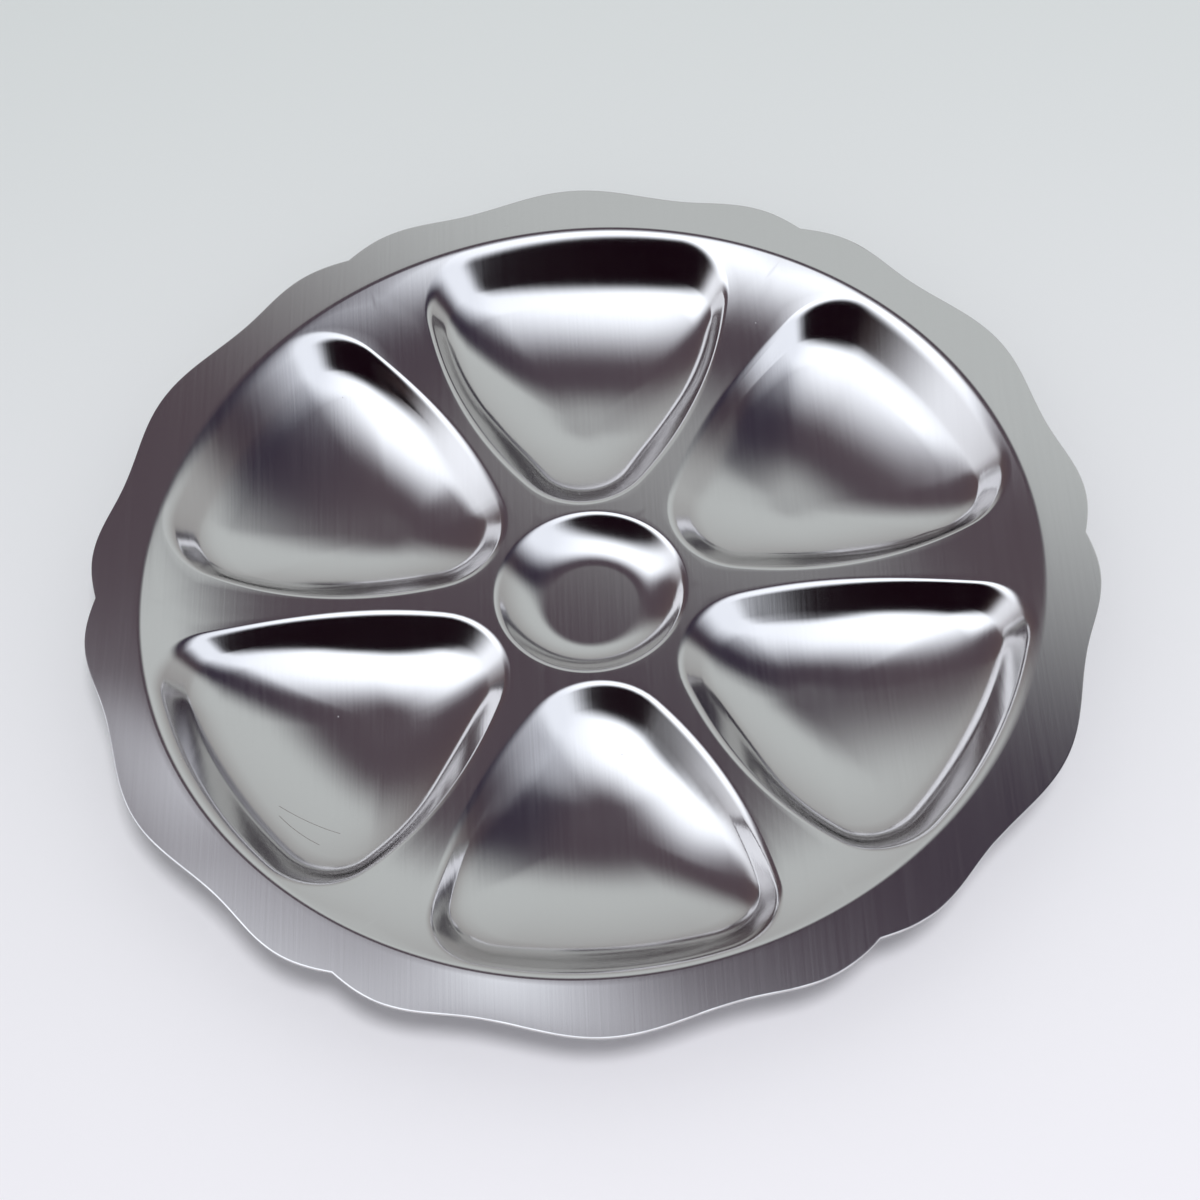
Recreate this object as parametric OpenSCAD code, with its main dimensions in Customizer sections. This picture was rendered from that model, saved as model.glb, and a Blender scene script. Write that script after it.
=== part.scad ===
// Oyster plate, pressed from one round of sheet steel.
//
// The flat rim has six large lobes, each with a small lobe either side,
// and a sharp notch where two small lobes meet. Inside the crease the dish
// falls to a low land. Six shell shaped wells point at a round centre cup.
// The plate rests on the level bottoms of the wells.
// Lengths are in millimetres, bearings in degrees from a well's own axis.

/* [Rim] */
// Diameter over the large lobes
plate_d = 250; // [240:1:280]
// How far the dips lie inside the large lobes
dip_depth = 3.2; // [0.5:0.1:5]
// How far the small lobes lie inside the large lobes
small_lobe_set = 0.9; // [0:0.1:3]
// How far the notches lie inside the large lobes
notch_depth = 3.3; // [0.5:0.1:5]
// Bearing of a dip from the middle of its large lobe
dip_bearing = 13.5; // [10:0.1:16]
// Bearing of a small lobe from the middle of the large lobe
small_lobe_bearing = 23.5; // [21:0.1:26]

/* [Dish] */
// Diameter of the crease where the rim turns down into the dish
crease_d = 219.4; // [214:0.2:226]
// Radius of the bend along that crease
crease_bend_r = 8; // [2:0.5:12]
// Depth of the land below the rim, near the centre
land_depth = 10; // [6:0.1:12]
// How late the land turns up to the crease
land_turn = 7; // [4:0.1:8]

/* [Wells] */
// Depth of a well's level bottom below the rim
well_depth = 20.3; // [17:0.1:30]
// Distance of a well's lowest point from the plate's centre
well_reach = 65; // [60:0.1:72]
// Radius of the level spot that a well rests on
foot_r = 3; // [1.5:0.1:6]
// Land left between a well's outer edge and the crease
outer_gap = 2.4; // [1.8:0.1:8]
// Land left between a well's tip and the centre cup
tip_gap = 3.6; // [3.2:0.1:10]
// Bearing of the rounded corners at a well's wide end
corner_bearing = 20.1; // [17:0.1:21]
// Radius of those corners
corner_r = 8.3; // [6:0.1:12]
// Radius of the rounded tip
tip_r = 15; // [9:0.1:17]
// Radius of the bowed sides
side_r = 115; // [95:1:170]
// Radius of the bend along a well's lip
lip_bend_r = 2.1; // [1:0.1:2.6]

/* [Well walls] */
// How the floor curves up to the outer wall
outer_floor = 2; // [1.6:0.1:3]
// How the floor curves up to the side walls
side_floor = 2.3; // [1.8:0.1:4]
// How sharply the outer wall turns up
outer_wall = 14; // [6:0.5:16]
// How sharply the side walls turn up
side_wall = 5; // [4:0.5:10]
// Share of the rise that the floor takes at the outer wall
outer_share = 0.75; // [0.5:0.01:1]
// Share of the rise that the floor takes at the side walls
side_share = 0.5; // [0.3:0.01:1]
// Share of the rise that the floor takes at the tip
tip_share = 1; // [0.5:0.01:1]

/* [Centre cup] */
// Diameter of the cup's mouth
cup_d = 46; // [40:0.5:48]
// Diameter of the cup's flat floor
cup_floor_d = 22.8; // [16:0.2:30]
// Depth of the cup below the land
cup_depth = 6.2; // [3:0.1:8]
// How the cup's wall curves up from its floor
cup_wall = 2; // [1.6:0.1:3]
// Radius of the bend along the cup's lip
cup_lip_r = 2.1; // [1:0.1:3]

/* [Sheet] */
// Thickness of the sheet
sheet = 0.8; // [0.5:0.05:1.2]

/* [Hidden] */

WELLS = 6;
sector = 360 / WELLS;
half = sector / 2;

// Columns of the surface: half the ring of one sector, its side, half its cup
ring_n = 8;
side_n = 7;
cup_n = 3;
// Rows of a well, as shares of the way from its level spot to its lip
well_rows = [0, 0.34, 0.6, 0.79, 0.92];
// Rows across a bend, as shares of its width
bend_rows = [-1, -0.34, 0.34, 1];
// Rows of the cup's wall, as shares of the way from its floor to its mouth
cup_rows = [0.25, 0.5, 0.7, 0.86];
// Rows of the crease, as shares of the way from the wells' lips to the flat rim
crease_rows = [0, 0.3, 0.62, 1];
// Small step used to find which way a surface faces
step = 0.02;
// Land left between a lip's bend and the next row
margin = 0.2;

rim_r = plate_d / 2;
crease_r = crease_d / 2;
cup_r = cup_d / 2;
cup_floor_r = cup_floor_d / 2;
well_outer_r = crease_r - outer_gap;
well_tip_y = cup_r + tip_gap;
low_point = [0, well_reach];

// Height that a bend takes off a crease of the given slope, at a given radius
function bend_height(slope, r) = slope * slope * r / 2;

// The lower of two heights, rounded where they cross
function low_blend(a, b, k) =
    a - b <= -k ? a
    : a - b >= k ? b
    : b - pow(b - a + k, 2) / (4 * k);

// Profile that runs round the whole plate, as height against radius

land_slope = land_depth * land_turn / crease_r;
crease_k = bend_height(land_slope, crease_bend_r);
crease_w = crease_k / land_slope;

function land_z(r) = -land_depth * (1 - pow(r / crease_r, land_turn));

cup_slope = cup_depth * cup_wall / (cup_r - cup_floor_r);
cup_k = bend_height(cup_slope, cup_lip_r);
cup_w = cup_k / cup_slope;

function cup_z(r) =
    let (u = max(0, r - cup_floor_r) / (cup_r - cup_floor_r))
    -land_depth - cup_depth * (1 - pow(u, cup_wall));

// The land between the cup and the rim, with both bends
function round_z(r) =
    low_blend(cup_z(r), low_blend(land_z(r), 0, crease_k), cup_k);

// Outline of one well, as a distance from its lowest point

corner_c = (well_outer_r - corner_r) * [sin(corner_bearing), cos(corner_bearing)];
tip_c = [0, well_tip_y + tip_r];
axis_len = norm(corner_c - tip_c);
axis_dir = (corner_c - tip_c) / axis_len;
to_tip = side_r - tip_r;
to_corner = side_r - corner_r;
along = (to_tip * to_tip - to_corner * to_corner + axis_len * axis_len) / (2 * axis_len);
across = sqrt(to_tip * to_tip - along * along);
side_c = tip_c + axis_dir * along - [axis_dir.y, -axis_dir.x] * across;

function bearing_from_low(p) = atan2(p.x, p.y - low_point.y);

outer_end = bearing_from_low(well_outer_r * [sin(corner_bearing), cos(corner_bearing)]);
corner_end = bearing_from_low(side_c + (corner_c - side_c) / to_corner * side_r);
side_end = bearing_from_low(side_c + (tip_c - side_c) / to_tip * side_r);

function arc_reach(way, centre, r) =
    let (o = low_point - centre, b = o * way)
    -b + sqrt(b * b - o * o + r * r);

function lip_reach(bearing) =
    let (a = abs(bearing), way = [sin(a), cos(a)])
    a < outer_end ? arc_reach(way, [0, 0], well_outer_r)
    : a < corner_end ? arc_reach(way, corner_c, corner_r)
    : a < side_end ? arc_reach(way, side_c, side_r)
    : arc_reach(way, tip_c, tip_r);

// Surface of one well, lofted from its level bottom to its lip

// Smooth change from one value to another between two bearings
function ease(a, from, to) =
    let (t = min(1, max(0, (a - from) / (to - from))))
    t * t * (3 - 2 * t);
function mix(a, b, t) = a + (b - a) * t;

function floor_power(a) = mix(outer_floor, side_floor, ease(a, 20, 110));
function wall_power(a) = mix(outer_wall, side_wall, ease(a, 20, 110));
function floor_share(a) =
    a < 110 ? mix(outer_share, side_share, ease(a, 50, 110))
    : mix(side_share, tip_share, ease(a, 130, 180));

function rise(q, a) =
    let (s = floor_share(a))
    s * pow(q, floor_power(a)) + (1 - s) * pow(q, wall_power(a));

function plan(bearing, d) = low_point + d * [sin(bearing), cos(bearing)];

// Height of the well's own surface, which runs on past its lip
function bowl_z(bearing, d) =
    let (
        reach = lip_reach(bearing),
        lip_z = round_z(norm(plan(bearing, reach)))
    )
    -well_depth
        + (lip_z + well_depth)
        * rise(max(0, d - foot_r) / (reach - foot_r), abs(bearing));

// Slope between the well's wall and the land, where they meet at the lip
function lip_slope(bearing) =
    let (reach = lip_reach(bearing))
    (bowl_z(bearing, reach) - bowl_z(bearing, reach - step)
        - round_z(norm(plan(bearing, reach)))
        + round_z(norm(plan(bearing, reach - step)))) / step;

function well_z(bearing, d) =
    low_blend(
        bowl_z(bearing, d),
        round_z(norm(plan(bearing, d))),
        bend_height(lip_slope(bearing), lip_bend_r)
    );

function well_point(bearing, d) =
    let (p = plan(bearing, d))
    [p.x, p.y, well_z(bearing, d)];

// Both faces of the sheet

function unit(v) = v / norm(v);
function under(p, facing) = p - sheet * unit(facing);

// Facing of the round profile at a point, from its slope there
function round_facing(p) =
    let (
        r = norm([p.x, p.y]),
        slope = (round_z(r + step) - round_z(r - step)) / (2 * step)
    )
    r < step ? [0, 0, 1] : [-slope * p.x / r, -slope * p.y / r, 1];

function well_facing(bearing, d) =
    cross(
        well_point(bearing + step, d) - well_point(bearing - step, d),
        well_point(bearing, d + step) - well_point(bearing, d - step)
    );

// Boundary of one sector, clockwise from the middle of its ring

ring_in = well_outer_r + lip_slope(0) * lip_bend_r / 2 + margin;
rim_in = crease_r + crease_w;
cup_out = cup_r + cup_w;

// Bearings along the ring lie closer towards the edge of the sector
function ring_bearing(i) = half * (1.2 * i / ring_n - 0.2 * pow(i / ring_n, 2));
function side_radius(i) = mix(ring_in, cup_out, i / side_n);
function polar(r, bearing) = r * [sin(bearing), cos(bearing)];

edge_half = concat(
    [for (i = [0:ring_n - 1]) polar(ring_in, ring_bearing(i))],
    [for (i = [0:side_n - 1]) polar(side_radius(i), half)],
    [for (i = [0:cup_n]) polar(cup_out, half * (1 - i / cup_n))]
);
half_n = ring_n + side_n + cup_n;
cols = 2 * half_n;

function mirrored(p) = [-p.x, p.y];
function edge_point(j) = j <= half_n ? edge_half[j] : mirrored(edge_half[cols - j]);

function col_bearing(j) =
    j == half_n ? 180
    : bearing_from_low(edge_point(j));

// Distances of the rows of one column from the well's lowest point
function col_reaches(bearing) =
    let (
        reach = lip_reach(bearing),
        bend_w = lip_slope(bearing) * lip_bend_r / 2
    )
    concat(
        [for (q = well_rows) mix(foot_r, reach - bend_w, q)],
        [for (b = bend_rows) reach + b * bend_w]
    );

rows = len(well_rows) + len(bend_rows);

// One well's points, row after row, for the top face and for the underside
sector_top = [
    for (i = [0:rows - 1], j = [0:cols - 1])
        let (b = col_bearing(j))
        well_point(b, col_reaches(b)[i])
];
sector_under = [
    for (i = [0:rows - 1], j = [0:cols - 1])
        let (b = col_bearing(j), d = col_reaches(b)[i])
        under(well_point(b, d), well_facing(b, d))
];

// Rim: outline of the lobes

dip_r = rim_r - dip_depth;
small_lobe_r = rim_r - small_lobe_set;
notch_r = rim_r - notch_depth;

function wave(from, to, t) = mix(from, to, (1 - cos(180 * t)) / 2);

// Radius of the rim's edge at a bearing from the middle of a large lobe
function edge_r(bearing) =
    let (a = abs(bearing))
    a <= dip_bearing ? wave(rim_r, dip_r, a / dip_bearing)
    : a <= small_lobe_bearing
        ? wave(dip_r, small_lobe_r, (a - dip_bearing) / (small_lobe_bearing - dip_bearing))
    : mix(notch_r, small_lobe_r, sin(90 * (half - a) / (half - small_lobe_bearing)));

// Whole plate: numbered points, row after row from the centre outwards

ring_cols = 2 * ring_n * WELLS;
cup_cols = 2 * cup_n * WELLS;
spoke_n = side_n - 1;

// Bearings of the ring's columns over the whole plate
function ring_way(i) =
    let (
        k = floor(i / (2 * ring_n) + 0.5),
        j = i - k * 2 * ring_n
    )
    k * sector + sign(j) * ring_bearing(abs(j));
function edge_way(i) =
    i % 2 == 0 ? ring_way(i / 2) : (ring_way((i - 1) / 2) + ring_way((i + 1) / 2)) / 2;
function cup_way(i) = i * half / cup_n;

function lifted(p) = [p.x, p.y, round_z(norm(p))];
function round_top(p) = lifted(p);
function round_under(p) = under(lifted(p), round_facing(p));

// Radii of the cup's rows, from its floor to the far side of its lip
cup_radii = concat(
    [cup_floor_r],
    [for (u = cup_rows) mix(cup_floor_r, cup_r - cup_w, u)],
    [for (b = bend_rows) cup_r + b * cup_w]
);
// Radii of the rows across the crease
crease_radii = [for (t = crease_rows) mix(ring_in, rim_in, t)];

cup_points = [for (r = cup_radii, i = [0:cup_cols - 1]) polar(r, cup_way(i))];
spoke_points = [
    for (k = [0:WELLS - 1], i = [1:spoke_n])
        polar(side_radius(i), half + k * sector)
];
crease_points = [for (r = crease_radii, i = [0:ring_cols - 1]) polar(r, ring_way(i))];
rim_points = [
    for (i = [0:2 * ring_cols - 1])
        let (w = edge_way(i))
        polar(edge_r(w - sector * floor(w / sector + 0.5)), w)
];
round_points = concat([[0, 0]], cup_points, spoke_points, crease_points, rim_points);

function turned(p, a) = [
    p.x * cos(a) + p.y * sin(a),
    -p.x * sin(a) + p.y * cos(a),
    p.z
];

low_top = [low_point.x, low_point.y, -well_depth];
low_under = low_top - [0, 0, sheet];

function wells_of(face, low) = [
    for (k = [0:WELLS - 1])
        each concat([turned(low, k * sector)], [for (p = face) turned(p, k * sector)])
];

top_points = concat([for (p = round_points) round_top(p)], wells_of(sector_top, low_top));
under_points = concat([for (p = round_points) round_under(p)], wells_of(sector_under, low_under));
face_n = len(top_points);

// Numbers of the points, by where they lie
cup_at = 1;
spoke_at = cup_at + len(cup_points);
crease_at = spoke_at + len(spoke_points);
rim_at = crease_at + len(crease_points);
wells_at = rim_at + len(rim_points);
well_size = 1 + rows * cols;

function cup_id(row, i) = cup_at + row * cup_cols + (i + cup_cols) % cup_cols;
function spoke_id(k, i) = spoke_at + ((k + WELLS) % WELLS) * spoke_n + i - 1;
function crease_id(row, i) = crease_at + row * ring_cols + (i + ring_cols) % ring_cols;
function rim_id(i) = rim_at + (i + 2 * ring_cols) % (2 * ring_cols);
function low_id(k) = wells_at + k * well_size;
function well_id(k, row, j) = low_id(k) + 1 + row * cols + j % cols;

cup_last = len(cup_radii) - 1;
crease_last = len(crease_radii) - 1;

// Point of a sector's boundary: along the ring, down the side, round the cup
function right_id(k, j) =
    j <= ring_n ? crease_id(0, 2 * ring_n * k + j)
    : j < ring_n + side_n ? spoke_id(k, j - ring_n)
    : cup_id(cup_last, 2 * cup_n * k + cup_n - (j - ring_n - side_n));
function left_id(k, j) =
    j <= ring_n ? crease_id(0, 2 * ring_n * k - j)
    : j < ring_n + side_n ? spoke_id(k - 1, j - ring_n)
    : cup_id(cup_last, 2 * cup_n * k - cup_n + (j - ring_n - side_n));
function boundary_id(k, j) =
    let (i = j % cols)
    i <= half_n ? right_id(k, i) : left_id(k, cols - i);

// Two triangles that fill one cell of the surface
function cell(a, b, c, d) = [[a, b, c], [a, c, d]];

cup_faces = concat(
    [for (i = [0:cup_cols - 1]) [0, cup_id(0, i), cup_id(0, i + 1)]],
    [
        for (row = [0:cup_last - 1], i = [0:cup_cols - 1])
            each cell(
                cup_id(row, i), cup_id(row + 1, i),
                cup_id(row + 1, i + 1), cup_id(row, i + 1)
            )
    ]
);
well_faces = [
    for (k = [0:WELLS - 1], j = [0:cols - 1])
        each concat(
            [[low_id(k), well_id(k, 0, j), well_id(k, 0, j + 1)]],
            [
                for (row = [0:rows - 2])
                    each cell(
                        well_id(k, row, j), well_id(k, row + 1, j),
                        well_id(k, row + 1, j + 1), well_id(k, row, j + 1)
                    )
            ],
            cell(
                well_id(k, rows - 1, j), boundary_id(k, j),
                boundary_id(k, j + 1), well_id(k, rows - 1, j + 1)
            )
        )
];
crease_faces = [
    for (row = [0:crease_last - 1], i = [0:ring_cols - 1])
        each cell(
            crease_id(row, i), crease_id(row + 1, i),
            crease_id(row + 1, i + 1), crease_id(row, i + 1)
        )
];
// The rim's edge has twice the columns of the crease
rim_faces = [
    for (i = [0:ring_cols - 1])
        let (
            a = crease_id(crease_last, i),
            b = crease_id(crease_last, i + 1),
            c = rim_id(2 * i),
            d = rim_id(2 * i + 1),
            e = rim_id(2 * i + 2)
        )
        each [[a, c, d], [a, d, b], [d, e, b]]
];
top_faces = concat(cup_faces, well_faces, crease_faces, rim_faces);

// The underside repeats the top, turned over, and a wall closes the rim's edge
under_faces = [for (f = top_faces) [f[0] + face_n, f[2] + face_n, f[1] + face_n]];
wall_faces = [
    for (i = [0:2 * ring_cols - 1])
        each cell(rim_id(i), rim_id(i) + face_n, rim_id(i + 1) + face_n, rim_id(i + 1))
];

module plate() {
    color("silver")
    translate([0, 0, well_depth + sheet])
    polyhedron(
        points = concat(top_points, under_points),
        faces = concat(top_faces, under_faces, wall_faces),
        convexity = 10
    );
}

plate();
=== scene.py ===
# %% [markdown]
# # An oyster plate in pressed steel
#
# The real plate is one thin round of stainless steel. A press stretches six
# shell-shaped wells and a small cup into it, and a blanking tool cuts its
# lobed edge. This lesson builds the sheet as one skin: a ring of points is
# placed round a well and extruded row by row, every row placed by the shape
# of the die. Then the skin gets its thickness, its finish and its light.

from math import atan2, cos, floor, hypot, pi, radians, sin, sqrt

import bmesh
import bpy
from mathutils import Matrix, Vector


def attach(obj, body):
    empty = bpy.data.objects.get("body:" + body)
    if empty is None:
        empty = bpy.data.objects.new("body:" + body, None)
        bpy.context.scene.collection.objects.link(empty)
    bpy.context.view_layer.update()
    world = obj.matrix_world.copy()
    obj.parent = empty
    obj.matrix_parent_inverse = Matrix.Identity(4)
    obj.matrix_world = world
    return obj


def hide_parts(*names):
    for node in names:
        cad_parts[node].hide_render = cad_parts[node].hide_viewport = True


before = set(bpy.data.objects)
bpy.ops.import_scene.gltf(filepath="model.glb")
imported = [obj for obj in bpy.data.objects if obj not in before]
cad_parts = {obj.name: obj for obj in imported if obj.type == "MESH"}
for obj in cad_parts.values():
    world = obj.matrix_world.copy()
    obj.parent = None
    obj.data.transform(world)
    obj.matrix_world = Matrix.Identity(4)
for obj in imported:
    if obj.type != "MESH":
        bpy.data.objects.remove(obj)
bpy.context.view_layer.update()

# %% [markdown]
# ## The sizes of the dies
#
# A press maker would start from a drawing, so the sizes come first. They are
# in millimetres, and bearings are measured from a well's own axis. Blender
# counts in metres, so everything is divided by a thousand when it is placed.
# Names that end in `_r` are radii, and depths are measured down from the rim.
#
# The first cell has the round forms and the lobed edge: `dip` is the hollow
# between a large lobe and a small one, and `notch` the cut between two small
# ones. The crease is the bend where the flat rim turns down into the dish, and
# the land is the sheet between the wells.

# %% Sizes of the rim, the land and the cup, in millimetres
MM = 0.001
WELLS = 6
SECTOR = 2 * pi / WELLS
HALF = SECTOR / 2

rim_r = 125.0
dip_r = rim_r - 3.2
small_lobe_r = rim_r - 0.9
notch_r = rim_r - 3.3
dip_bearing = radians(13.5)
small_lobe_bearing = radians(23.5)

crease_r = 110.5
crease_bend_r = 3.5
land_depth = 10.8
land_turn = 5.2

cup_r = 23.6
cup_floor_r = 11.6
cup_depth = 6.2
cup_wall = 2.1
cup_lip_r = 1.6
print("the plate is", 2 * rim_r, "mm across and its cup", 2 * cup_r, "mm")

# %% Sizes of a well and of the sheet, in millimetres
well_depth = 20.3
well_reach = 59.4
foot_r = 3.0
well_outer_r = crease_r - 2.0
corner_bearing = radians(15.1)
corner_r = 15.7
tip_r = 19.0
side_r = 115.0
well_tip_y = cup_r + 3.7

sheet = 0.8
rim_top = well_depth + sheet
inside = 0.015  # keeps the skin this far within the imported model
print("the rim stands", rim_top, "mm above the table")

# %% [markdown]
# ## The profile that runs round the plate
#
# Away from the wells the die is a turned form, so its height depends only on
# the distance from the centre. Where two slopes meet, the steel bends with a
# small radius instead of a sharp edge. `low_blend` takes the lower of two
# heights and rounds the place where they cross, over a height of `k`.

# %% Round profile
def low_blend(a, b, k):
    """The lower of two heights, with a round bend where they cross."""
    if a - b <= -k:
        return a
    if a - b >= k:
        return b
    return b - (b - a + k) ** 2 / (4 * k)


def bend_height(slope, r):
    """The k that bends a slope into the level with about the radius r."""
    return slope * slope * r / 2


land_slope = land_depth * land_turn / crease_r
crease_k = bend_height(land_slope, crease_bend_r)
rim_in = crease_r + crease_k / land_slope

cup_slope = cup_depth * cup_wall / (cup_r - cup_floor_r)
cup_k = bend_height(cup_slope, cup_lip_r)
cup_out = cup_r + cup_k / cup_slope


def round_z(r):
    """Height of the land, rim or cup at a distance from the centre."""
    land = -land_depth * (1 - (r / crease_r) ** land_turn)
    u = max(0.0, r - cup_floor_r) / (cup_r - cup_floor_r)
    cup = -land_depth - cup_depth * (1 - u**cup_wall)
    return low_blend(cup, low_blend(land, 0.0, crease_k), cup_k)


print("the land lies", round(-round_z(40), 2), "mm below the rim")

# %% [markdown]
# ## The outline and the bowl of a well
#
# Seen from above, a well is a rounded triangle made of four kinds of arc: the
# wide outer edge, two corners, two bowed sides and the tip. They are drawn from
# their centres, and each side's centre is found where two circles cross, so
# that the side runs into the corner and the tip without a kink. A point of a
# well is given by its bearing and distance from the lowest point.

# %% Outline of a well
corner_c = Vector((sin(corner_bearing), cos(corner_bearing))) * (well_outer_r - corner_r)
tip_c = Vector((0, well_tip_y + tip_r))
low = Vector((0, well_reach))
gap = corner_c - tip_c
to_tip, to_corner = side_r - tip_r, side_r - corner_r
along = (to_tip**2 - to_corner**2 + gap.length_squared) / (2 * gap.length)
across = sqrt(to_tip**2 - along**2)
way = gap.normalized()
side_c = tip_c + way * along - Vector((way.y, -way.x)) * across


def bearing_from_low(p):
    return atan2(p[0], p[1] - well_reach)


outer_end = bearing_from_low(Vector((sin(corner_bearing), cos(corner_bearing))) * well_outer_r)
corner_end = bearing_from_low(side_c + (corner_c - side_c) / to_corner * side_r)
side_end = bearing_from_low(side_c + (tip_c - side_c) / to_tip * side_r)


def lip_reach(bearing):
    a = abs(bearing)
    d = Vector((sin(a), cos(a)))
    if a < outer_end:
        c, r = Vector((0, 0)), well_outer_r
    elif a < corner_end:
        c, r = corner_c, corner_r
    elif a < side_end:
        c, r = side_c, side_r
    else:
        c, r = tip_c, tip_r
    o = low - c
    b = o.dot(d)
    return -b + sqrt(b * b - o.dot(o) + r * r)


print("a well is", round(lip_reach(0) + lip_reach(pi), 1), "mm long")

# %% [markdown]
# The floor of a well is level at the lowest point and curves up to the foot of
# the wall. The wall then climbs to the lip on a straight slope, steeply at the
# outer edge and gently at the tip, as half an oyster shell does. `around` lets
# each of these values change with the bearing.

# %% Values that change round a well
def mix(a, b, t):
    return a + (b - a) * t


def ease(a, start, end):
    t = min(1.0, max(0.0, (a - radians(start)) / radians(end - start)))
    return t * t * (3 - 2 * t)


def around(outer, side, tip):
    """A value that changes from the outer wall over the sides to the tip."""

    def at(bearing):
        a = abs(bearing)
        return mix(mix(outer, side, ease(a, 30, 100)), tip, ease(a, 110, 170))

    return at


floor_share = around(0.72, 0.8, 0.84)
floor_turn = around(2.3, 2.3, 2.05)
wall_steep = around(1.22, 0.87, 0.74)
foot_bend = around(0.6, 0.52, 0.45)
lip_bend = around(0.32, 0.47, 0.48)
print("the outer wall climbs", wall_steep(0), "mm per mm, the tip", wall_steep(pi))


# %% Bowl of a well
def plan(bearing, d):
    return low + Vector((sin(bearing), cos(bearing))) * d


def lip_z(bearing):
    """Height of the land where the lip runs over it."""
    return round_z(plan(bearing, lip_reach(bearing)).length)


def wall_width(bearing):
    return (1 - floor_share(bearing)) * (lip_z(bearing) + well_depth) / wall_steep(bearing)


def floor_slope(bearing):
    run, turn = lip_reach(bearing) - foot_r, floor_turn(bearing)
    start = 1 - wall_width(bearing) / run
    return floor_share(bearing) * (lip_z(bearing) + well_depth) * turn / run * start ** (turn - 1)


def bowl_z(bearing, d):
    """Height of the floor and wall, with the bend at the foot of the wall."""
    reach, steep = lip_reach(bearing), wall_steep(bearing)
    q = max(0.0, d - foot_r) / (reach - foot_r)
    rise = floor_share(bearing) * (lip_z(bearing) + well_depth) * q ** floor_turn(bearing)
    wall = lip_z(bearing) - steep * (reach - d)
    k = (steep - floor_slope(bearing)) * foot_bend(bearing) * wall_width(bearing)
    return -low_blend(well_depth - rise, -wall, k)


def lip_slope(bearing):
    """How much steeper the wall is than the land at the lip."""
    reach, step = lip_reach(bearing), 0.02
    land = lip_z(bearing) - round_z(plan(bearing, reach - step).length)
    return wall_steep(bearing) - land / step


def lip_width(bearing):
    return lip_bend(bearing) * wall_width(bearing)


def well_point(bearing, d):
    p = plan(bearing, d)
    k = lip_slope(bearing) * lip_width(bearing)
    return Vector((p.x, p.y, low_blend(bowl_z(bearing, d), round_z(p.length), k)))


half_widths = [lip_reach(radians(b)) * sin(radians(b)) for b in range(180)]
print("a well is", round(2 * max(half_widths), 1), "mm wide")

# %% [markdown]
# ## One sector of the skin
#
# A well is made as a ring of points round its level spot, and each extruded
# ring moves out to the next row of the die. Rows lie close where the steel
# bends, because a mirror shows every flat. The last rows follow the border of
# the sector, so that six copies meet. Every vertex remembers its column in a
# layer, and an extrusion copies that number, so a new row always knows where
# its points belong.

# %% Border of a sector, as columns
RING_N, SIDE_N, CUP_N = 36, 26, 10
HALF_N = RING_N + SIDE_N + CUP_N
COLS = 2 * HALF_N
ring_in = well_outer_r + lip_width(0) + 0.2


def polar(r, bearing):
    return Vector((r * sin(bearing), r * cos(bearing)))


border = [polar(ring_in, HALF * i / RING_N) for i in range(RING_N)]
border += [polar(mix(ring_in, cup_out, i / SIDE_N), HALF) for i in range(SIDE_N)]
border += [polar(cup_out, HALF * (1 - i / CUP_N)) for i in range(CUP_N + 1)]
border += [Vector((-p.x, p.y)) for p in border[HALF_N - 1 : 0 : -1]]
columns = [bearing_from_low(p) if i != HALF_N else pi for i, p in enumerate(border)]
print("the border of a sector has", len(border), "points")

# %% Rows of a well
FLOOR_ROWS, FOOT_ROWS, WALL_ROWS, LIP_ROWS = 14, 8, 3, 10


def reaches(bearing):
    reach, wall, bend = lip_reach(bearing), wall_width(bearing), lip_width(bearing)
    foot_in = reach - (1 + foot_bend(bearing)) * wall
    foot_out = reach - (1 - foot_bend(bearing)) * wall
    rows = [mix(foot_r, foot_in, i / FLOOR_ROWS) for i in range(FLOOR_ROWS)]
    rows += [mix(foot_in, foot_out, i / FOOT_ROWS) for i in range(FOOT_ROWS)]
    rows += [mix(foot_out, reach - bend, i / WALL_ROWS) for i in range(WALL_ROWS)]
    return rows + [mix(reach - bend, reach + bend, i / LIP_ROWS) for i in range(LIP_ROWS + 1)]


rows_of = [reaches(b) for b in columns]
LAND_SHARES = (0.25, 0.5, 0.75, 1.0)
print("a well has", COLS, "columns and", len(rows_of[0]) + len(LAND_SHARES), "rows")


# %% Extrude the well row by row
def extrude_row(bm, edges, place):
    """Extrudes a ring of edges and puts each new vertex where place says."""
    new = bmesh.ops.extrude_edge_only(bm, edges=edges)["geom"]
    for v in new:
        if isinstance(v, bmesh.types.BMVert):
            v.co = place(v)
    return [e for e in new if isinstance(e, bmesh.types.BMEdge)]


def to_row(row):
    """Places vertices on a row of the well."""

    def place(v):
        i = v[column]
        return well_point(columns[i], rows_of[i][row])

    return place


def to_border(share):
    """Places vertices on the land, between the last row and the border."""

    def place(v):
        i = v[column]
        p = plan(columns[i], rows_of[i][-1]).lerp(border[i], share)
        return Vector((p.x, p.y, round_z(p.length)))

    return place


bm = bmesh.new()
column = bm.verts.layers.int.new("column")
ring = bmesh.ops.create_circle(bm, cap_ends=True, segments=COLS, radius=foot_r)["verts"]
for i, v in enumerate(ring):
    v[column] = i
    v.co = well_point(columns[i], foot_r)
edges = list(bm.edges)
bmesh.ops.poke(bm, faces=list(bm.faces))
for row in range(1, len(rows_of[0])):
    edges = extrude_row(bm, edges, to_row(row))
for share in LAND_SHARES:
    edges = extrude_row(bm, edges, to_border(share))
print("one well has", len(bm.faces), "faces")

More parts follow.
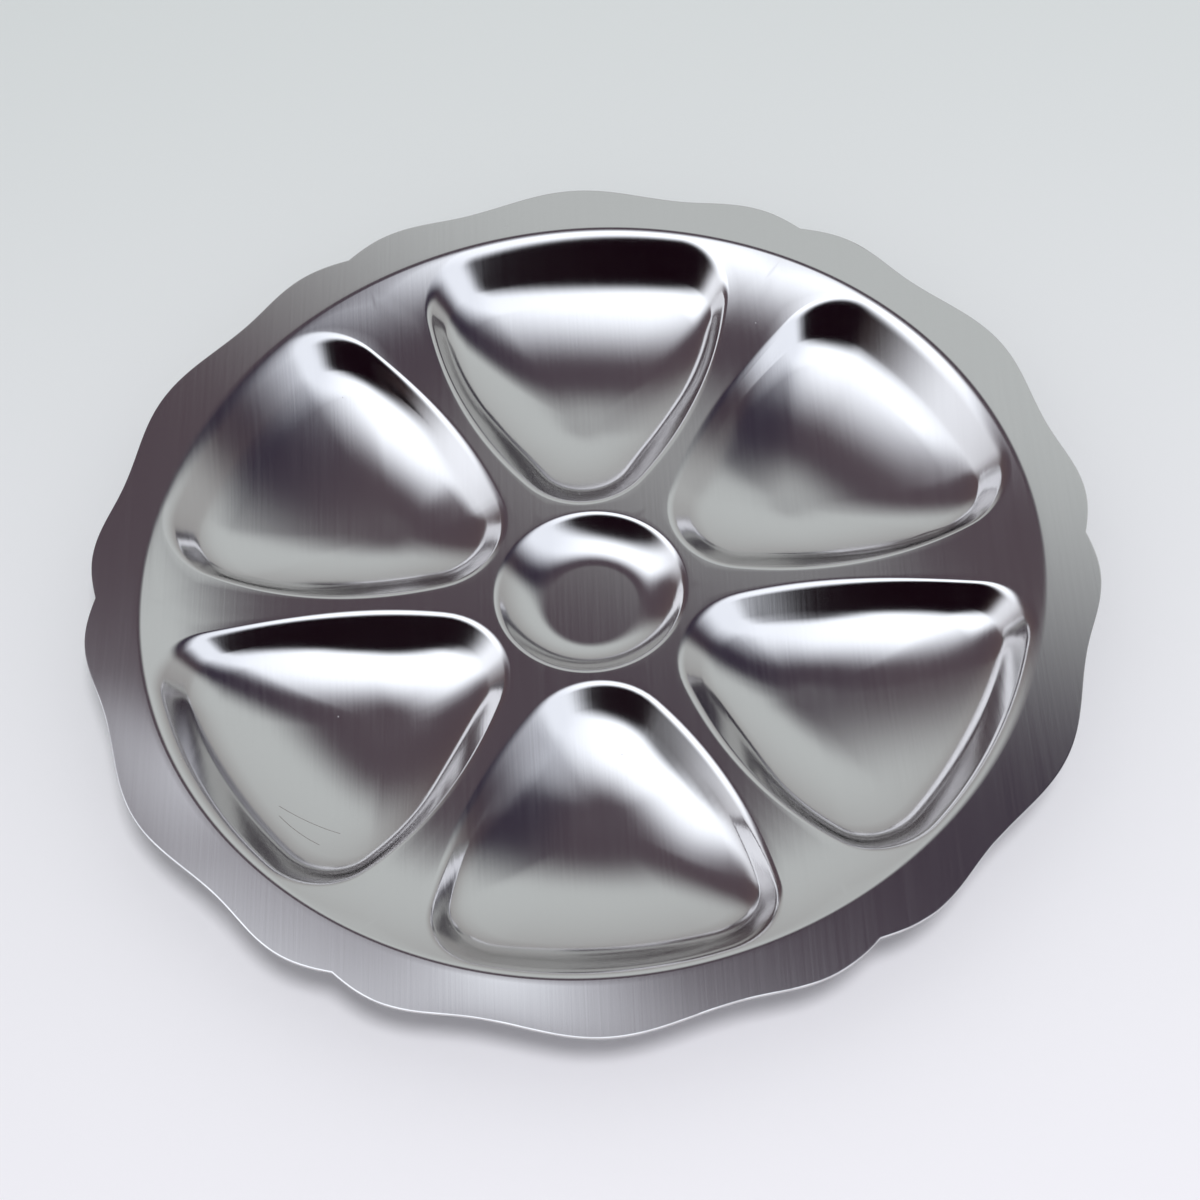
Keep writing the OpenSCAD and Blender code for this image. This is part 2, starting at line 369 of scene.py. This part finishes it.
# %% [markdown]
# ## Six wells and the cup
#
# `spin` with duplicates copies the sector round the plate, and merging the
# doubles joins the copies along their borders. That leaves two open loops. The
# inner one is drawn down into the cup by extruding one row after another, and
# the flat floor of the cup is closed with one face, poked into a fan.

# %% Copy the sector round the plate
bmesh.ops.spin(
    bm,
    geom=bm.verts[:] + bm.edges[:] + bm.faces[:],
    axis=(0, 0, 1),
    angle=2 * pi - SECTOR,
    steps=WELLS - 1,
    use_duplicate=True,
    use_merge=False,
)
bmesh.ops.remove_doubles(bm, verts=list(bm.verts), dist=0.01)
open_edges = [e for e in bm.edges if e.is_boundary]
cup_edges = [e for e in open_edges if e.verts[0].co.xy.length < well_reach]
ring_edges = [e for e in open_edges if e.verts[0].co.xy.length > well_reach]
print("open edges: cup", len(cup_edges), "and ring", len(ring_edges))


# %% Draw the cup down
def round_row(r):
    """Places vertices on a circle of the turned profile."""

    def place(v):
        flat = v.co.xy.normalized() * r
        return Vector((flat.x, flat.y, round_z(r)))

    return place


CUP_LIP_ROWS, CUP_WALL_ROWS = 10, 16
cup_in = 2 * cup_r - cup_out
cup_rows = [mix(cup_out, cup_in, i / CUP_LIP_ROWS) for i in range(1, CUP_LIP_ROWS + 1)]
cup_rows += [mix(cup_in, cup_floor_r, i / CUP_WALL_ROWS) for i in range(1, CUP_WALL_ROWS + 1)]
cup_rows.append(cup_floor_r - 0.3)
for r in cup_rows:
    cup_edges = extrude_row(bm, cup_edges, round_row(r))
disc = bmesh.ops.contextual_create(bm, geom=cup_edges)["faces"]
bmesh.ops.poke(bm, faces=disc)
print("the cup has", len(cup_rows), "rows")

# %% [markdown]
# ## The rim
#
# The outer loop is drawn over the crease and out to the lobed edge. The edge is
# a wave: round at the large lobes, hollow at the dips, round again at the small
# lobes, with a sharp notch where two small lobes meet. The rim of a pressed
# plate is never quite true, and here the two lobes nearest the camera hang a
# little low, which is why they catch the lamp in the photograph. Each sag falls
# most steeply next to the crease.


# %% Lobed edge
def wave(a, b, t):
    """Goes from a to b as half a cosine wave, level at both ends."""
    return mix(a, b, (1 - cos(pi * t)) / 2)


def edge_r(bearing):
    """Radius of the lobed edge."""
    a = abs(bearing - SECTOR * floor(bearing / SECTOR + 0.5))
    if a <= dip_bearing:
        return wave(rim_r, dip_r, a / dip_bearing)
    if a <= small_lobe_bearing:
        return wave(dip_r, small_lobe_r, (a - dip_bearing) / (small_lobe_bearing - dip_bearing))
    return mix(notch_r, small_lobe_r, sin(pi / 2 * (HALF - a) / (HALF - small_lobe_bearing)))


print("opposite notches are", 2 * round(edge_r(HALF), 1), "mm apart")

# %% Sag of the two near lobes
SAG_CURVE = 1.6
sags = [(radians(-116), radians(16), 0.48), (radians(-171), radians(21), 0.42)]


def edge_sag(bearing):
    """How far the edge hangs low: each sag has a middle, a half width and a drop."""
    low_by = 0.0
    for middle, half_width, drop in sags:
        a = abs((bearing - middle + pi) % (2 * pi) - pi)
        low_by += drop * (1 + cos(pi * min(1.0, a / half_width))) / 2
    return low_by


def rim_row(share, inset=0.0):
    """Places vertices between the crease and the edge."""

    def place(v):
        bearing = atan2(v.co.x, v.co.y)
        flat = v.co.xy.normalized() * mix(rim_in, edge_r(bearing) - inset - inside, share)
        fall = (1 - (1 - share) ** SAG_CURVE) * edge_sag(bearing)
        return Vector((flat.x, flat.y, -fall))

    return place


print("the lowest part of the edge hangs", max(drop for _, _, drop in sags), "mm low")

# %% Draw the rim out
CREASE_ROWS = 10
RIM_SHARES = (0.1, 0.2, 0.35, 0.5, 0.65, 0.8)
for i in range(1, CREASE_ROWS + 1):
    ring_edges = extrude_row(bm, ring_edges, round_row(mix(ring_in, rim_in, i / CREASE_ROWS)))
for share in RIM_SHARES:
    ring_edges = extrude_row(bm, ring_edges, rim_row(share))
ring_edges = extrude_row(bm, ring_edges, rim_row(1.0, 0.3))
ring_edges = extrude_row(bm, ring_edges, rim_row(1.0))
bmesh.ops.recalc_face_normals(bm, faces=list(bm.faces))
if sum(f.normal.z for f in bm.faces) < 0:
    bmesh.ops.reverse_faces(bm, faces=list(bm.faces))
print("the skin has", len(bm.faces), "faces")

# %% [markdown]
# ## The thickness of the sheet
#
# Solidify gives the skin the thickness of the sheet on its underside, the same
# all over when its even offset is on. The cut edge of the real plate is only
# deburred, so it gets a very small bevel that catches the light.

# %% Place the skin and give it thickness
bmesh.ops.translate(bm, verts=list(bm.verts), vec=(0, 0, rim_top - inside))
bmesh.ops.scale(bm, verts=list(bm.verts), vec=(MM, MM, MM))
for f in bm.faces:
    f.smooth = True
mesh = bpy.data.meshes.new("pressed_sheet")
bm.to_mesh(mesh)
bm.free()
plate = bpy.data.objects.new("pressed_sheet", mesh)
bpy.context.collection.objects.link(plate)

thickness = plate.modifiers.new("sheet thickness", "SOLIDIFY")
thickness.thickness = (sheet - 2 * inside) * MM
thickness.offset = -1
thickness.use_even_offset = True
edge = plate.modifiers.new("deburred edge", "BEVEL")
edge.width = 0.08 * MM
edge.segments = 2
edge.limit_method = "ANGLE"
edge.angle_limit = radians(50)

bpy.context.view_layer.update()
finished = plate.evaluated_get(bpy.context.evaluated_depsgraph_get())
print("the sheet has", sum(len(p.vertices) - 2 for p in finished.to_mesh().polygons), "triangles")
finished.to_mesh_clear()

# %% [markdown]
# ## Helpers for materials
#
# Colours are given as the sRGB hex codes that a colour picker shows, and one
# function turns them into the linear values that the renderer works with. A
# node takes its settings by name, and each input takes either a value or the
# output of another node. Inputs that share a name are given by their number.

# %% Helpers for materials
def linear(code, level=1.0):
    """Turns an sRGB hex colour into linear values, made brighter by level."""
    values = [int(code[i : i + 2], 16) / 255 for i in (1, 3, 5)]
    values = [v / 12.92 if v <= 0.04045 else ((v + 0.055) / 1.055) ** 2.4 for v in values]
    return [v * level for v in values] + [1.0]


def add_node(tree, kind, inputs=(), **settings):
    """Adds a node with its settings, and sets or links its inputs."""
    node = tree.nodes.new(kind)
    for name, value in settings.items():
        setattr(node, name, value)
    for name, value in dict(inputs).items():
        if isinstance(value, bpy.types.NodeSocket):
            tree.links.new(value, node.inputs[name])
        else:
            node.inputs[name].default_value = value
    return node


print("mid grey #808080 is", round(linear("#808080")[0], 3), "in linear light")

# %% [markdown]
# ## Brushed stainless steel
#
# The sheet is 18/10 stainless steel. It leaves the rolling mill with fine
# lines along one direction, and the press does not remove them. Along the
# lines it is nearly a mirror, across them it is softer, so highlights spread
# sideways. An anisotropic shader does this. Its tangent comes from a UV map
# that is simply the plan of the sheet before pressing.
#
# The lines are a noise stretched along Y, which sets the roughness and a very
# low relief. Real lines are finer than a pixel of the render, so they are drawn
# as coarse as they need to be to show: about 0.7 mm apart and 40 mm long.

# %% Plan of the unpressed sheet as a UV map
PLAN_SCALE = 3.5  # the whole plate lies within the map
plan_map = mesh.uv_layers.new(name="plan")
for loop in mesh.loops:
    co = mesh.vertices[loop.vertex_index].co
    plan_map.data[loop.index].uv = (0.5 + co.x * PLAN_SCALE, 0.5 + co.y * PLAN_SCALE)
print("the plan covers", round(2 * rim_r * MM * PLAN_SCALE, 3), "of its map")

# %% Brushed lines
LINES_PER_M, LINE_LENGTH = 1400, 40 * MM
steel = bpy.data.materials.new("brushed_stainless_18_10")
steel.use_nodes = True
tree = steel.node_tree
tree.nodes.clear()
place_on_sheet = add_node(tree, "ShaderNodeTexCoord").outputs["Object"]
stretched = add_node(
    tree,
    "ShaderNodeMapping",
    {"Vector": place_on_sheet, "Scale": (LINES_PER_M, 1 / LINE_LENGTH, 1 / LINE_LENGTH)},
)
lines = add_node(
    tree,
    "ShaderNodeTexNoise",
    {"Vector": stretched.outputs["Vector"], "Scale": 1.0, "Detail": 3.0},
).outputs["Fac"]
brushed = add_node(
    tree,
    "ShaderNodeMapRange",
    {"Value": lines, "From Min": 0.3, "From Max": 0.7, "To Min": 0.11, "To Max": 0.14},
).outputs["Result"]
relief = add_node(
    tree, "ShaderNodeBump", {"Height": lines, "Strength": 0.42, "Distance": 0.02 * MM}
)
print("lines lie", round(1 / LINES_PER_M / MM, 2), "mm apart")

# %% [markdown]
# ## Wear
#
# The plate has been used a little. Two fine curved scratches cross the floor of
# the near left well, and there are a few specks of dust. A scratch is a thin
# piece of a circle, seen from above: it is where the distance from the circle's
# centre is the radius, and where the scratch's own middle is near. A scratch
# and a speck scatter the light, so they are rougher than the steel round them.

# %% Scratches
SCRATCH_WIDTH = 0.16
from_above = add_node(
    tree, "ShaderNodeVectorMath", {0: place_on_sheet, 1: (1, 1, 0)}, operation="MULTIPLY"
).outputs["Vector"]


def scratch(centre, middle, length):
    """A thin arc round centre, with its middle and length given, in millimetres."""
    r = hypot(centre[0] - middle[0], centre[1] - middle[1])
    from_centre, from_middle = (
        add_node(
            tree,
            "ShaderNodeVectorMath",
            {0: from_above, 1: (x * MM, y * MM, 0)},
            operation="DISTANCE",
        ).outputs["Value"]
        for x, y in (centre, middle)
    )
    arc = add_node(
        tree,
        "ShaderNodeMath",
        {0: from_centre, 1: r * MM, 2: SCRATCH_WIDTH / 2 * MM},
        operation="COMPARE",
    ).outputs[0]
    near = add_node(
        tree, "ShaderNodeMath", {0: from_middle, 1: length / 2 * MM}, operation="LESS_THAN"
    ).outputs[0]
    return add_node(tree, "ShaderNodeMath", {0: arc, 1: near}, operation="MULTIPLY").outputs[0]


upper_scratch = scratch((-38.9, 1.1), (-69.7, -58.1), 16.5)
lower_scratch = scratch((-49.0, -34.4), (-72.0, -61.5), 12.8)
scratches = add_node(
    tree, "ShaderNodeMath", {0: upper_scratch, 1: lower_scratch}, operation="MAXIMUM"
).outputs[0]
print("the scratches are", SCRATCH_WIDTH, "mm wide")

# %% Specks of dust
SPECKS_PER_M, SPECK_SHARE = 70.0, 0.012  # a speck's radius as a share of its cell
cells = add_node(
    tree, "ShaderNodeTexVoronoi", {"Vector": place_on_sheet, "Scale": SPECKS_PER_M}
).outputs["Distance"]
specks = add_node(
    tree, "ShaderNodeMath", {0: cells, 1: SPECK_SHARE}, operation="LESS_THAN"
).outputs[0]
print("specks are", round(2 * SPECK_SHARE / SPECKS_PER_M / MM, 2), "mm across")

# %% Steel as one shader
WORN_ROUGHNESS = 0.5
worn = add_node(tree, "ShaderNodeMath", {0: scratches, 1: specks}, operation="MAXIMUM").outputs[0]
dulled = add_node(
    tree, "ShaderNodeMath", {0: worn, 1: WORN_ROUGHNESS}, operation="MULTIPLY"
).outputs[0]
roughness = add_node(tree, "ShaderNodeMath", {0: brushed, 1: dulled}, operation="MAXIMUM")
colour = add_node(
    tree,
    "ShaderNodeMix",
    {"Factor": scratches, 6: linear("#d3d1d1"), 7: linear("#a09894")},
    data_type="RGBA",
)
grain = add_node(tree, "ShaderNodeTangent", direction_type="UV_MAP", uv_map="plan")
metal = add_node(
    tree,
    "ShaderNodeBsdfPrincipled",
    {
        "Base Color": colour.outputs[2],
        "Roughness": roughness.outputs[0],
        "Tangent": grain.outputs["Tangent"],
        "Normal": relief.outputs["Normal"],
        "Metallic": 1.0,
        "Anisotropic": 0.4,
        "Anisotropic Rotation": 0.25,  # a quarter turn, from X to the lines along Y
    },
)
add_node(tree, "ShaderNodeOutputMaterial", {"Surface": metal.outputs["BSDF"]})
mesh.materials.append(steel)
print("the steel has", len(tree.nodes), "nodes")

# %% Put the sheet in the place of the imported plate
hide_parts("plate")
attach(plate, "root")
print("the sheet stands in for node plate, on body root")

# %% [markdown]
# ## Table
#
# The plate stands on a pale table, covered with matt white paper, with painted
# shade: its colour is painted a touch greener and darker far from the camera,
# where less light falls, so it changes slowly along Y. The table is stage: it
# belongs to the scene and not to the object.

# %% Table with matt white paper
bm = bmesh.new()
bmesh.ops.create_grid(bm, x_segments=1, y_segments=1, size=3.0)
table_mesh = bpy.data.meshes.new("table")
bm.to_mesh(table_mesh)
bm.free()
table = bpy.data.objects.new("table", table_mesh)
bpy.context.collection.objects.link(table)

paper = bpy.data.materials.new("matt_white_paper")
paper.use_nodes = True
tree = paper.node_tree
place_on_table = add_node(tree, "ShaderNodeTexCoord").outputs["Object"]
to_the_back = add_node(tree, "ShaderNodeSeparateXYZ", {"Vector": place_on_table}).outputs["Y"]
painted_shade_share = add_node(
    tree,
    "ShaderNodeMapRange",
    {"Value": to_the_back, "From Min": -0.25, "From Max": 0.3},
    interpolation_type="SMOOTHSTEP",
).outputs["Result"]
# painted shade: the paper colour is made darker and greener towards the back
paper_with_painted_shade = add_node(
    tree,
    "ShaderNodeMix",
    {"Factor": painted_shade_share, 6: linear("#f0eff6"), 7: linear("#d9dedf")},
    data_type="RGBA",
)
pulp = tree.nodes["Principled BSDF"]
pulp.inputs["Roughness"].default_value = 0.9
pulp.inputs["Specular IOR Level"].default_value = 0.2
tree.links.new(paper_with_painted_shade.outputs[2], pulp.inputs["Base Color"])
table_mesh.materials.append(paper)
print("the table is", table.dimensions.x, "m wide")

# %% [markdown]
# ## The light tent
#
# A mirror shows the room more than itself, so the room matters as much as the
# plate. Product photographers put shiny things in a tent of lit cloth, and this
# is one: a ball round the plate that only reflections see. Its cloth glows in a
# few large areas with soft borders. `half_space` is the part of the room on one
# side of a slanted plane, and every area is put together from such parts.
#
# Seen from the plate, there is a pale wall behind, then unlit grey, then a wide
# soft lamp that arches overhead from the left to the front right, and a black
# place in front, where the camera stands. Low down behind the plate the wall
# turns brown. The tent is turned with the camera, so its borders keep their
# places in the reflections.

# %% Helpers for the cloth
TURN = radians(2.88)
ROOM_R = 850 * MM
cloth = bpy.data.materials.new("lit_tent_cloth")
cloth.use_nodes = True
cloth.cycles.emission_sampling = "NONE"
tree = cloth.node_tree
tree.nodes.clear()
place_in_tent = add_node(tree, "ShaderNodeTexCoord").outputs["Object"]
toward = add_node(
    tree, "ShaderNodeVectorMath", {0: place_in_tent}, operation="NORMALIZE"
).outputs["Vector"]


def half_space(normal, offset, soft):
    """1 on the side of the room that the normal points to, with a soft border."""
    along = add_node(
        tree, "ShaderNodeVectorMath", {0: toward, 1: normal}, operation="DOT_PRODUCT"
    ).outputs["Value"]
    return add_node(
        tree,
        "ShaderNodeMapRange",
        {"Value": along, "From Min": offset - soft, "From Max": offset + soft},
        interpolation_type="SMOOTHSTEP",
    ).outputs["Result"]


print("the tent's middle is", rim_top, "mm above the table")

# %% Areas of the cloth
right_side = half_space((1.0, 0.0, 0.0), 0.15, 0.4)
pale_wall = half_space((0.467, 0.881, -0.072), 0.516, 0.103)
black_front = half_space((-0.48, -0.877, -0.022), 0.45, 0.15)
brown_foot = add_node(
    tree,
    "ShaderNodeMath",
    {0: half_space((0.0, 0.0, -1.0), -0.04, 0.76), 1: half_space((0.0, 1.0, 0.0), -0.2, 0.2)},
    operation="MULTIPLY",
).outputs[0]

past_the_wall = half_space((0.473, -0.831, -0.293), -0.815, 0.075)
lamp_overhead = add_node(
    tree,
    "ShaderNodeMath",
    {0: past_the_wall, 1: half_space((-0.461, -0.887, 0.028), -0.133, 0.213)},
    operation="MULTIPLY",
).outputs[0]
lamp_in_front = half_space((-0.299, -0.847, -0.44), -0.18, 0.15)
lamp = add_node(
    tree, "ShaderNodeMath", {0: lamp_overhead, 1: lamp_in_front}, operation="MAXIMUM"
).outputs[0]
print("the areas of the cloth take", len(tree.nodes), "nodes")

# %% Colours of the cloth
STEEL_RETURNS = 0.64  # of the light, so the cloth glows brighter by as much
unlit, lamp_tone = (
    add_node(
        tree, "ShaderNodeMix", {"Factor": right_side, 6: left, 7: right}, data_type="RGBA"
    ).outputs[2]
    for left, right in (
        (linear("#4b4148"), linear("#2e2735")),
        (linear("#f1f7ff", 1.25), linear("#e6ecf6")),
    )
)
room = unlit
for area, tone in (
    (pale_wall, linear("#b3b8b8")),
    (lamp, lamp_tone),
    (black_front, linear("#10050b")),
    (brown_foot, linear("#5f504e")),
):
    room = add_node(
        tree, "ShaderNodeMix", {"Factor": area, 6: room, 7: tone}, data_type="RGBA"
    ).outputs[2]
glow = add_node(tree, "ShaderNodeEmission", {"Color": room, "Strength": 1 / STEEL_RETURNS})
add_node(tree, "ShaderNodeOutputMaterial", {"Surface": glow.outputs["Emission"]})
print("the cloth has", len(tree.nodes), "nodes")

# %% Put the tent up
bm = bmesh.new()
bmesh.ops.create_icosphere(bm, subdivisions=4, radius=ROOM_R)
bmesh.ops.reverse_faces(bm, faces=list(bm.faces))
for f in bm.faces:
    f.smooth = True
tent_mesh = bpy.data.meshes.new("light_tent")
bm.to_mesh(tent_mesh)
bm.free()
tent_mesh.materials.append(cloth)
tent = bpy.data.objects.new("light_tent", tent_mesh)
tent.location = (0, 0, rim_top * MM)
tent.rotation_euler = (0, 0, TURN)
bpy.context.collection.objects.link(tent)
tent.visible_camera = False
tent.visible_diffuse = False
tent.visible_shadow = False
print("the tent is", round(2 * ROOM_R, 2), "m across")

# %% [markdown]
# ## Light on the table
#
# The table is lit by an even pale surround and by one round lamp, high up and
# in front, a little to the right. The lamp sends the plate's shadow under the
# plate, so only a thin soft line of it shows along the near edge. Reflections
# don't see this lamp, because the tent has its own.

# %% Surround and lamp
world = bpy.data.worlds.new("room")
bpy.context.scene.world = world
world.use_nodes = True
surround = world.node_tree.nodes["Background"]
surround.inputs["Color"].default_value = linear("#f1f1f1")
surround.inputs["Strength"].default_value = 0.62

fill_data = bpy.data.lights.new("fill", "AREA")
fill_data.shape = "DISK"
fill_data.size = 0.5
fill_data.energy = 22
fill = bpy.data.objects.new("fill", fill_data)
fill.location = (0.25, -0.62, 2.0)
fill.visible_glossy = False
bpy.context.collection.objects.link(fill)
print("the lamp hangs", fill.location.z, "m above the table")

# %% [markdown]
# ## Camera
#
# The rim's six-fold shape shows where the photograph was taken from: its lobes
# and notches lie on circles whose real form is known, so a camera can be fitted
# to their places in the picture. The eye is given in units of about the mean
# radius of the edge, and the lens in pixels of a picture that is 1200 wide.

# %% Camera, as the photograph was taken
EYE_UNIT = 123.2 * MM
PICTURE_WIDTH, FOCAL_PIXELS, SENSOR = 1200, 2476.57, 36.0
TILT_DEGREES, ROLL_DEGREES = 55.768, -6.1825
eye = Vector((0.0164, -2.8302, 4.0322)) * EYE_UNIT + Vector((0, 0, rim_top * MM))
tilt, roll = radians(TILT_DEGREES), radians(ROLL_DEGREES)
level, ahead = Vector((1, 0, 0)), Vector((0, cos(tilt), -sin(tilt)))
below = ahead.cross(level)
across = level * cos(roll) - below * sin(roll)
down = level * sin(roll) + below * cos(roll)
turn = Matrix.Rotation(TURN, 3, "Z")
axes = Matrix((turn @ across, turn @ -down, turn @ -ahead))
pose = axes.transposed().to_4x4()
pose.translation = turn @ eye

lens = bpy.data.cameras.new("camera")
lens.sensor_width = SENSOR
lens.lens = FOCAL_PIXELS / PICTURE_WIDTH * SENSOR
camera = bpy.data.objects.new("camera", lens)
camera.matrix_world = pose
bpy.context.collection.objects.link(camera)
bpy.context.scene.camera = camera
bpy.context.scene.view_settings.view_transform = "Standard"
print("the camera looks", TILT_DEGREES, "degrees down, through a lens of", round(lens.lens, 1))
